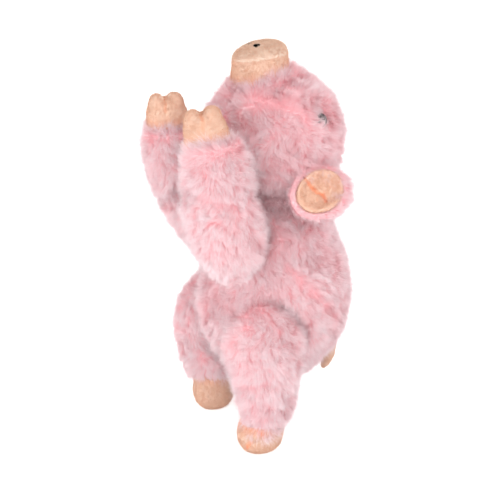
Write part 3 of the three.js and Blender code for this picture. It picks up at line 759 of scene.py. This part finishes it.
LEGS = [f"{end}_leg_{side}" for end in ("front", "hind") for side, _ in SIDES]
PADS = {
    "trunk": stuffed("torso", "body_skin", "body_stuffing", 1, (0, 0.1, -0.55), 0.24, (SIDE_CREASE, GROIN), ["tail"],
                     ["head_skin", *LEGS], parts=4, fill=2.8 * MM),
    "head": stuffed("head", "head_skin", "head_stuffing", 2, (0, 0.1, -0.35), 0.34, (CHEEK,), ["snout_band"],
                    ["body_skin", "front_leg_left", "front_leg_right"], parts=2, eyes=EYE),
}
for _i, (_side, _) in enumerate(SIDES):
    for _end, _seed, _lean, _warmth, _parting, _against in (
        ("front", 3, -0.55, 0.1, ELBOW, ["body_skin", "head_skin"]),
        ("hind", 5, -0.6, 0.12, KNEE, ["body_skin"]),
    ):
        _leg = f"{_end}_leg_{_side}"
        PADS[_leg] = stuffed(f"{_end}_limb_{_side}", _leg, f"{_leg}_stuffing", _seed + _i, (0, 0, _lean), _warmth,
                             (_parting,), [f"{_end}_hoof_{_side}"], _against)


def neighbours(body):
    """CAD nodes that show on the other bodies."""
    bodies = frame["record"]["behaviour"]["bodies"]
    hidden = ("stuffing", "squeaker", "washer")
    return [n for b, ns in bodies.items() if b != body for n in ns if not any(h in n for h in hidden)]


def from_line(points, line):
    """How far points lie from a line of points, and the way from it to them."""
    best, way = np.full(len(points), 1.0), np.zeros_like(points)
    for start, end in zip(line, line[1:]):
        run = end - start
        t = np.clip((points - start) @ run / (run @ run), 0, 1)
        off = points - start - t[:, None] * run
        far = np.linalg.norm(off, axis=1)
        way[far < best] = off[far < best]
        best = np.minimum(best, far)
    return best, unit(way)


def groom(piece, pad, plush):
    """Writes how the pile lies on a cloth: its length, cover, comb and warmth. The warmth carries painted shade in
    creases and where the pile lies against other parts.
    """
    mesh, seed = piece.data, pad["seed"]
    points, normals = points_of(mesh), normals_of(mesh)
    own = distances(points, solid_tree([pad["skin"]]))
    near = distances(points, solid_tree(neighbours(pad["body"])))
    sewn = 1 - stepped(own, plush.root_depth + 3.0 * MM, plush.root_depth + 6.0 * MM)
    open_air = stepped(near, 0.8 * MM, 3.6 * MM)
    nap = np.array(pad["nap"])
    swirls = sum(swirl(points, size, seed + step) * strength for size, strength, step in SWIRLS)
    comb = flat(nap + swirls, normals)
    slope = np.linalg.norm(comb, axis=1, keepdims=True)
    comb = comb / np.maximum(slope, 1e-6) * (0.68 + 0.32 * np.tanh(slope))
    length = 1 + 0.18 * lumps(points, 0.012, seed + 2) + 0.3 * (1 - open_air)
    for nodes, (share, more) in ((pad["over"], OVERLAP), (pad["against"], BESIDE)):
        tree = solid_tree(nodes)
        found = [tree.find_nearest(p, 0.02) for p in points]
        way = np.array([(f[0] or Vector(p)) - Vector(p) for f, p in zip(found, points)])
        close = 1 - stepped(np.array([0.02 if f[3] is None else f[3] for f in found]), 2.5 * MM, 7 * MM)
        comb += unit(way) * close[:, None] * share
        length += more * close
    # The pad's own tone and random lumps of tone, plus painted shade: the tips turn pinker where the pile lies against
    # other parts.
    warmth = pad["warmth"] + 0.3 * stepped(lumps(points, 0.016, seed + 9), 0.0, 0.5) + 0.45 * (1 - open_air)
    for line, reach in pad["partings"]:
        for _, sign in SIDES:
            far, way = from_line(points, mirrored(line, sign))
            share = 1 - stepped(far, 0.2 * reach * MM, reach * MM)
            comb += way * share[:, None] * 0.7
            length *= 1 - 0.3 * share
            # Painted shade: the tips along a crease are painted pinker.
            warmth += 0.5 * share
    if "eyes" in pad:
        eye, reach = pad["eyes"]
        for _, sign in SIDES:
            inward = mirrored(eye, sign) - points
            far = np.linalg.norm(inward, axis=1)
            share = 1 - stepped(far, 0.5 * reach * MM, reach * MM)
            comb += unit(inward) * share[:, None] * 1.5
    set_lie(mesh, comb, length, sewn * (1.2 - 0.2 * open_air), warmth)


def bulge(cloth, pad):
    """How far a cloth bulges out along its normals to lie near the neighbours that it faces."""
    tree = solid_tree(pad["against"])
    rays = zip(points_of(cloth.data), normals_of(cloth.data))
    hits = [tree.ray_cast(Vector(p), Vector(n), BULGE_REACH)[3] for p, n in rays]
    far = np.array([0.0 if d is None else d for d in hits])
    return averaged(cloth.data, np.clip(far - BULGE_GAP, 0, pad.get("fill", 0)), 4)[:, 0]


def add_pad(name):
    plush = bpy.context.scene.pig_plush
    pad = PADS[name]
    cloth = shell_of(f"{name}_cloth", pad["nodes"], PLUSH_VOXEL, 6, plush.root_depth)
    points = points_of(cloth.data)
    near = 1 - stepped(distances(points, solid_tree(neighbours(pad["body"]))), plush.root_depth, 5 * MM)
    swell = swollen(cloth, 0.2 * MM, 2.5 * MM) * (1 - near)[:, None]
    rise = np.maximum(near * plush.root_depth * 0.85, bulge(cloth, pad))
    move_points(cloth.data, points + swell + normals_of(cloth.data) * rise[:, None])
    coated(cloth.data, "ground")
    groom(cloth, pad, plush)
    grow_all(f"{name}_fur", cloth, pad["body"], "plush", pad.get("parts", 1), pad["seed"], bends=BENDS,
             Material=MATERIALS["fur"], Density=plush.density, Tuft=plush.tuft, Length=plush.pile, Width=plush.width)
    hand_over(cloth, pad["body"], "plush", *pad["nodes"])


# Velour


def hollow_shade(mesh, rounds, low, high):
    """Painted shade for a mesh: 1 in its folds, grooves and clefts, 0 on its open sides, by how far a point lies under
    its surroundings.
    """
    points, normals = points_of(mesh), normals_of(mesh)
    return stepped(np.sum((averaged(mesh, points, rounds) - points) * normals, axis=1), low, high)


def add_nap(name, base, body, slot, cover, fold, paint, seed, comb=(0, 0, 0)):
    """Short hairs on a velour piece."""
    velour = bpy.context.scene.pig_velour
    mesh = base.data
    points = points_of(mesh)
    lay = np.array(comb) + swirl(points, 0.008, seed) * 0.9
    # The painted shade of folds, creases and seams goes on to the hairs as their tone.
    set_lie(mesh, lay, 1 + 0.15 * lumps(points, 0.006, seed), cover, fold * 1.1 - 0.12)
    grow(name, base, body, slot, NAP_BENDS, Material=MATERIALS[paint], Density=velour.density, Tuft=velour.tuft,
         Length=velour.nap, Width=velour.width, Gather=0.25, Stray=0.5, Guard=0.0, Seed=seed)
    for key in LIE:
        mesh.attributes.remove(mesh.attributes[key])


def velour_piece(name, nodes, body, voxel, rounds, seed, axis=None, comb=(0, 0, 0), inset=0.0, sewn_to=(), creases=(),
                 made_of=None):
    """A velour piece in the form of some CAD nodes, with its nap. axis is a point on the upright axis of a hollow
    piece: only the side away from it has a nap. It has painted shade where it is hollow, where it is sewn to other
    nodes and at creases: for each, its points, how far the whole piece is tinted to the shade colour, and how strong
    the painted shade of the crease is."""
    piece = shell_of(name, nodes, voxel, rounds, inset)
    mesh = piece.data
    # Painted shade: the velour and its nap are painted deeper where it is hollow, along the seam with other nodes and
    # at creases.
    fold = hollow_shade(mesh, 24, 0.25 * MM, 1.1 * MM)
    if sewn_to:
        far = distances(points_of(mesh), solid_tree(sewn_to))
        seam, edge = 1 - stepped(far, 0.6 * MM, 1.8 * MM), 1 - stepped(far, 1.0 * MM, 10 * MM)
        fold = np.maximum(fold, 0.35 * edge + 0.45 * seam)
    for line, whole, deep in creases:
        far, _ = from_line(points_of(mesh), line)
        dip = (1 - stepped(far, 0.2 * MM, 2.6 * MM)) * CREASE_DEPTH
        move_points(mesh, points_of(mesh) - normals_of(mesh) * dip[:, None])
        fold = np.maximum(fold, whole + (deep - whole) * (1 - stepped(far, 0.2 * MM, 2.2 * MM)))
    set_attribute(mesh, "fold", fold)
    coated(mesh, "velour")
    points, normals = points_of(mesh), normals_of(mesh)
    cover = np.ones(len(points))
    if axis is not None:
        off = (points - axis) * (1, 1, 0)
        cover = np.clip((np.sum(off * normals, axis=1) > 0).astype(float) + (np.abs(normals[:, 2]) > 0.8), 0, 1)
    add_nap(f"{name}_nap", piece, body, "velour", cover, fold, "fuzz", seed, comb)
    hand_over(piece, body, "velour", *(made_of or nodes))
    return piece


# How far the velour dips at a crease
CREASE_DEPTH = 0.7 * MM
# The clefts of the front hooves, in mm, and on the pig's left the cleft and the crease of the hind hooves, which dip
# in and carry painted shade
FRONT_CLEFTS = {
    "left": [(33.2, -56.0, 240.2), (38.8, -57.2, 238.4), (41.5, -57.8, 235.7), (42.5, -58.0, 231.0)],
    "right": [(-30.0, -54.2, 240.1), (-24.7, -55.7, 237.6), (-22.5, -56.5, 233.0)],
}
HIND_FOLDS = (
    [(43.0, -30.0, 3.0), (46.0, -29.0, 7.8), (48.0, -27.7, 11.6)],
    [(46.0, -27.4, 24.4), (49.5, -24.6, 20.8), (52.5, -20.6, 16.9)],
)


def add_hooves():
    for i, (side, sign) in enumerate(SIDES):
        # Each crease: its points, no tint over the whole hoof, and the strength of its painted shade
        cleft = [(mirrored(FRONT_CLEFTS[side], 1), 0.0, 0.35)]
        folds = [(mirrored(line, sign), 0.0, 0.8) for line in HIND_FOLDS]
        for end, seed, axis, lie, creases in (("front", 20, (0.033, -0.0505, 0), 0.3, cleft),
                                              ("hind", 24, (0.0385, -0.014, 0), -0.3, folds)):
            hoof = f"{end}_hoof_{side}"
            velour_piece(f"{hoof}_velour", [hoof], f"{end}_limb_{side}", VELOUR_VOXEL, 3, seed + i,
                         axis=np.array(axis) * (sign, 1, 1), comb=(0, 0, lie), sewn_to=[f"{end}_leg_{side}"],
                         creases=creases)


def add_snout():
    """The side and the face of the snout share one rounded form, and the face lies over it as a thin cap."""
    side = velour_piece("snout_side", ["snout_band", "nose_disc"], "head", VELOUR_VOXEL, 9, 30, axis=(0, 0.0035, 0),
                        comb=(0, 0, -0.3), inset=-0.5 * MM, sewn_to=["head_skin"], made_of=["snout_band"])
    disc, band = solid_tree(["nose_disc"]), solid_tree(["snout_band"])
    face = add_object("snout_face", side.data.copy())
    shape = bmesh.new()
    shape.from_mesh(face.data)
    middles = {f: f.calc_center_median() for f in shape.faces}
    beside = [f for f, middle in middles.items() if f.normal.z < 0.1
              or disc.find_nearest(middle)[3] > band.find_nearest(middle)[3] + 0.4 * MM]
    bmesh.ops.delete(shape, geom=beside, context="FACES")
    shape.to_mesh(face.data)
    shape.free()
    largest_shell(face.data)
    coated(face.data, "nose")
    applied(face, ("SOLIDIFY", {"thickness": 1.0 * MM, "offset": -0.7}))
    cover = stepped(normals_of(face.data)[:, 2], 0.2, 0.4)
    add_nap("snout_face_nap", face, "head", "nose_velour", cover, np.zeros(len(cover)), "nose_fuzz", 31)
    hand_over(face, "head", "nose_velour", "nose_disc")
    for side, _ in SIDES:
        patch = joined_copy(f"nostril_{side}_stitches", [f"nostril_{side}"])
        points = points_of(patch.data)
        middle = points.mean(0)
        move_points(patch.data, middle + (points - middle) * (1.05, 1.05, 1.0) + (0, 0, 0.7 * MM))
        coated(patch.data, "thread")
        hand_over(patch, "head", "thread", f"nostril_{side}")


def add_tail():
    piece = velour_piece("tail_velour", ["tail"], "tail", THIN_VOXEL, 2, 33)


# The crease across the lining of the left ear, in mm, which dips in and carries painted shade
EAR_FOLD = [(50.0, 6.0, 199.0), (51.6, 9.1, 195.7), (55.1, 17.1, 185.5), (56.9, 20.6, 184.2), (60.9, 20.6, 180.4)]


def add_ears():
    plush = bpy.context.scene.pig_plush
    for i, (side, sign) in enumerate(SIDES):
        body = f"ear_{side}"
        cloth = shell_of(f"ear_{side}_cloth", [f"ear_{side}"], EAR_VOXEL, 4, 1.2 * MM)
        mesh = cloth.data
        coated(mesh, "ground")
        points, normals = points_of(mesh), normals_of(mesh)
        lining = distances(points, solid_tree([f"ear_{side}_lining"]))
        head = distances(points, solid_tree(["head_skin"]))
        middle = points_of(NODES[f"ear_{side}_lining"].data).mean(0)
        rim = 1 - stepped(lining, 1.0 * MM, 5.0 * MM)
        back = stepped((points - middle) @ np.array((0.45 * sign, 0.89, 0.1)), -8 * MM, 10 * MM)
        top = rim * stepped(points[:, 2] - middle[2], 2 * MM, 11 * MM) * (1 - back)
        # The pile of the rim leans in over the lining, that of the back leans away from it.
        nap = flat(np.array((0.4 * sign, 0.3, -0.5)) + swirl(points, 0.012, 40 + i) * 0.8, normals)
        nap += unit(middle - points) * (rim * (1 - back))[:, None] * 0.8 + np.outer(back, (0.3 * sign, 0.6, -0.2))
        cover = stepped(lining, 0.5 * MM, 1.6 * MM) * (0.3 + 0.7 * stepped(head, 1.0 * MM, 3.0 * MM))
        pile = 0.4 + 0.6 * back + 0.1 * (1 - rim) + 0.6 * top
        set_lie(mesh, nap, pile, cover, 0.2 + 0.3 * lumps(points, 0.01, 7))
        grow(f"ear_{side}_fur", cloth, body, "plush", BENDS, Material=MATERIALS["fur"], Density=plush.density,
             Tuft=plush.tuft, Length=plush.pile, Width=plush.width * 0.9, Seed=40 + i)
        hand_over(cloth, body, "plush", f"ear_{side}")
        # The lining is tinted a little towards the shade colour all over, and its crease carries painted shade.
        velour_piece(f"ear_{side}_inner", [f"ear_{side}_lining"], body, THIN_VOXEL, 4, 44 + i, inset=-0.45 * MM,
                     creases=[(mirrored(EAR_FOLD, sign), 0.12, 0.75)])


# Eyes

# How far a button stands up from its seat, how thick its edge is, and the radius of its shank
BUTTON_RISE, EDGE, SHANK = 4.4 * MM, 0.8 * MM, 1.9 * MM


def lathe(name, profile, base, aim, turns=40):
    """A profile of (radius, height) turned round an aim from a base, closed at its poles."""
    shape = bmesh.new()
    rings = []
    for radius, height in profile:
        ring = np.linspace(0, 2 * math.pi, turns if radius else 1, endpoint=False)
        rings.append([shape.verts.new((radius * math.cos(t), radius * math.sin(t), height)) for t in ring])
    for low, high in zip(rings, rings[1:]):
        for k in range(turns):
            corners = [low[k % len(low)], low[(k + 1) % len(low)], high[(k + 1) % len(high)], high[k % len(high)]]
            shape.faces.new(list(dict.fromkeys(corners)))
    bmesh.ops.recalc_face_normals(shape, faces=shape.faces)
    mesh = bpy.data.meshes.new(name)
    shape.to_mesh(mesh)
    shape.free()
    turn = Vector(aim).to_track_quat("Z", "Y").to_matrix().to_4x4()
    mesh.transform(Matrix.Translation(base) @ turn)
    mesh.shade_smooth()
    return add_object(name, mesh)


def add_eyes():
    for side, sign in SIDES:
        points = points_of(NODES[f"eye_{side}"].data)
        middle = points.mean(0)
        spread = points - middle
        aim = np.linalg.svd(spread)[2][0]
        aim = aim if aim[0] * sign > 0 else -aim
        along = points @ aim
        bottom, seat = along.min(), along.max() - BUTTON_RISE
        radius = np.linalg.norm(spread - np.outer(spread @ aim, aim), axis=1).max()
        profile = [(0, bottom), (1.4 * MM, bottom), (SHANK, bottom + 0.8 * MM), (SHANK, seat), (radius * 0.92, seat),
                   (radius, seat + 0.4 * MM), (radius, seat + EDGE)]
        for k in range(1, 13):
            t = math.pi / 2 * k / 12
            profile.append((radius * math.cos(t) if k < 12 else 0, seat + EDGE + (BUTTON_RISE - EDGE) * math.sin(t)))
        eye = lathe(f"eye_{side}_button", profile, middle - aim * (middle @ aim), aim)
        coated(eye.data, "eye")
        hand_over(eye, "head", "eye_plastic", f"eye_{side}")


# Stage


def add_floor():
    mesh = bpy.data.meshes.new("floor")
    half = 6
    mesh.from_pydata([(-half, -half, 0), (half, -half, 0), (half, half, 0), (-half, half, 0)], [], [(0, 1, 2, 3)])
    floor = add_object("floor", mesh)
    floor.location.z = -0.0002
    paint = Paint("pale_floor")
    seen = paint.node("ShaderNodeLightPath", out="Is Camera Ray")
    paint.plug(paint.shader.inputs["Emission Strength"], 1.0)
    glow = paint.mix(seen, (0, 0, 0), (FLOOR_GLOW,) * 3)
    mesh.materials.append(
        paint.finish(Base_Color=(0.9, 0.9, 0.9), Roughness=0.9, Specular_IOR_Level=0.0, Emission_Color=glow)
    )


def around(turn, rise):
    """The way from the toy to what stands turn round from the front towards the pig's left and rise above level."""
    level = math.cos(rise)
    return Vector((math.sin(turn) * level, -math.cos(turn) * level, math.sin(rise)))


def stand(piece, middle, way, reach):
    """Puts a camera or lamp reach away from a middle, and aims it there."""
    bpy.context.scene.collection.objects.link(piece)
    piece.location = middle + way * reach
    piece.rotation_euler = (-way).to_track_quat("-Z", "Y").to_euler()


# The lamps: their turn and rise round the toy in degrees, reach and size in metres, and watts
LAMPS = {
    "front": (68, 17.5, 1.4, 0.17, 3.3),
    "key": (125, 36, 1.1, 0.7, 3.2),
    "fill": (20, 28, 1.2, 0.9, 0.5),
    "low": (95, 0, 1.3, 0.7, 1.2),
    "side": (-30, 12, 1.2, 0.8, 2.2),
    "toes": (25, -8, 0.5, 0.3, 0.9),
    "catch": (42, -6, 1.2, 0.05, 0.9),
}
# Where the lamps and the camera aim
LIT_MIDDLE, SEEN_MIDDLE = Vector((0, 0, 0.14)), Vector((0, -0.004, 0.134))
# How bright the world lights the toy and the floor glows where the camera sees it
WORLD_GLOW, FLOOR_GLOW = 0.92, 0.6


def add_world():
    """Soft light from all round, and plain white where the camera, a reflection or a clear piece shows the world."""
    world = bpy.data.worlds.new("studio")
    bpy.context.scene.world = world
    world.use_nodes = True
    world.node_tree.nodes.clear()
    net = Net(world.node_tree)
    light = net.node("ShaderNodeBackground", None, (1.0, 0.985, 0.98), WORLD_GLOW)
    white = net.node("ShaderNodeBackground", None, (1, 1, 1), 1.0)
    straight = net.node("ShaderNodeLightPath", out="Is Camera Ray")
    glossy, clear = straight.beside("Is Glossy Ray"), straight.beside("Is Transmission Ray")
    seen = net.maths("MAXIMUM", net.maths("MAXIMUM", straight, glossy), clear)
    net.node("ShaderNodeOutputWorld", None, net.node("ShaderNodeMixShader", None, seen, light, white))


def add_lamps():
    for name, (turn, rise, reach, size, watts) in LAMPS.items():
        lamp = bpy.data.lights.new(name, "AREA")
        lamp.size, lamp.energy = size, watts
        stand(bpy.data.objects.new(name, lamp), LIT_MIDDLE, around(math.radians(turn), math.radians(rise)), reach)


def add_camera(stage):
    lens = bpy.data.cameras.new("camera")
    lens.lens, lens.sensor_width = stage.focal, 36
    camera = bpy.data.objects.new("camera", lens)
    stand(camera, SEEN_MIDDLE, around(stage.turn, stage.rise), stage.reach)
    bpy.context.scene.camera = camera


# Operators


class PIG_OT_paint(bpy.types.Operator):
    """Make the materials"""

    bl_idname = "pig.paint"
    bl_label = "Materials"

    def execute(self, context):
        paint_all()
        return {"FINISHED"}


class PIG_OT_body(bpy.types.Operator):
    """Dress the trunk and the head in plush"""

    bl_idname = "pig.body"
    bl_label = "Trunk and head"

    def execute(self, context):
        add_pad("trunk")
        add_pad("head")
        return {"FINISHED"}


class PIG_OT_legs(bpy.types.Operator):
    """Dress the four legs in plush"""

    bl_idname = "pig.legs"
    bl_label = "Legs"

    def execute(self, context):
        for side, _ in SIDES:
            add_pad(f"front_leg_{side}")
            add_pad(f"hind_leg_{side}")
        return {"FINISHED"}


class PIG_OT_velour(bpy.types.Operator):
    """Make the hooves, the snout and the tail of velour"""

    bl_idname = "pig.velour"
    bl_label = "Hooves, snout and tail"

    def execute(self, context):
        add_hooves()
        add_snout()
        add_tail()
        return {"FINISHED"}


class PIG_OT_ears(bpy.types.Operator):
    """Make the two lined ears"""

    bl_idname = "pig.ears"
    bl_label = "Ears"

    def execute(self, context):
        add_ears()
        return {"FINISHED"}


class PIG_OT_eyes(bpy.types.Operator):
    """Make the two button eyes"""

    bl_idname = "pig.eyes"
    bl_label = "Eyes"

    def execute(self, context):
        add_eyes()
        return {"FINISHED"}


class PIG_OT_inside(bpy.types.Operator):
    """Finish the squeaker and the eye washers, which stay as the CAD has them"""

    bl_idname = "pig.inside"
    bl_label = "Squeaker and washers"

    def execute(self, context):
        for name, node in NODES.items():
            for key in ("squeaker", "washer"):
                if key in name:
                    coated(node.data, key)
        return {"FINISHED"}


class PIG_OT_stage(bpy.types.Operator):
    """Set up the floor, the light and the camera"""

    bl_idname = "pig.stage"
    bl_label = "Stage"

    def execute(self, context):
        add_floor()
        add_world()
        add_lamps()
        add_camera(context.scene.pig_stage)
        context.scene.view_settings.view_transform = "Standard"
        return {"FINISHED"}


class PIG_PT_panel(bpy.types.Panel):
    """The pig's steps"""

    bl_label = "Pig"
    bl_space_type = "VIEW_3D"
    bl_region_type = "UI"
    bl_category = "Pig"

    def draw(self, context):
        for operator in OPERATORS:
            self.layout.operator(operator.bl_idname)


OPERATORS = (
    PIG_OT_paint, PIG_OT_body, PIG_OT_legs, PIG_OT_velour, PIG_OT_ears, PIG_OT_eyes, PIG_OT_inside, PIG_OT_stage,
)
GROUPS = (PigPlush, PigVelour, PigStage)


def register():
    for made in GROUPS + OPERATORS + (PIG_PT_panel,):
        bpy.utils.register_class(made)
    bpy.types.Scene.pig_plush = bpy.props.PointerProperty(type=PigPlush)
    bpy.types.Scene.pig_velour = bpy.props.PointerProperty(type=PigVelour)
    bpy.types.Scene.pig_stage = bpy.props.PointerProperty(type=PigStage)


def unregister():
    del bpy.types.Scene.pig_plush, bpy.types.Scene.pig_velour, bpy.types.Scene.pig_stage
    for made in reversed(GROUPS + OPERATORS + (PIG_PT_panel,)):
        bpy.utils.unregister_class(made)


def main():
    noise.seed_set(NOISE_SEED)
    register()
    for operator in OPERATORS:
        getattr(bpy.ops.pig, operator.bl_idname.split(".")[1])()


if __name__ == "__main__":
    main()
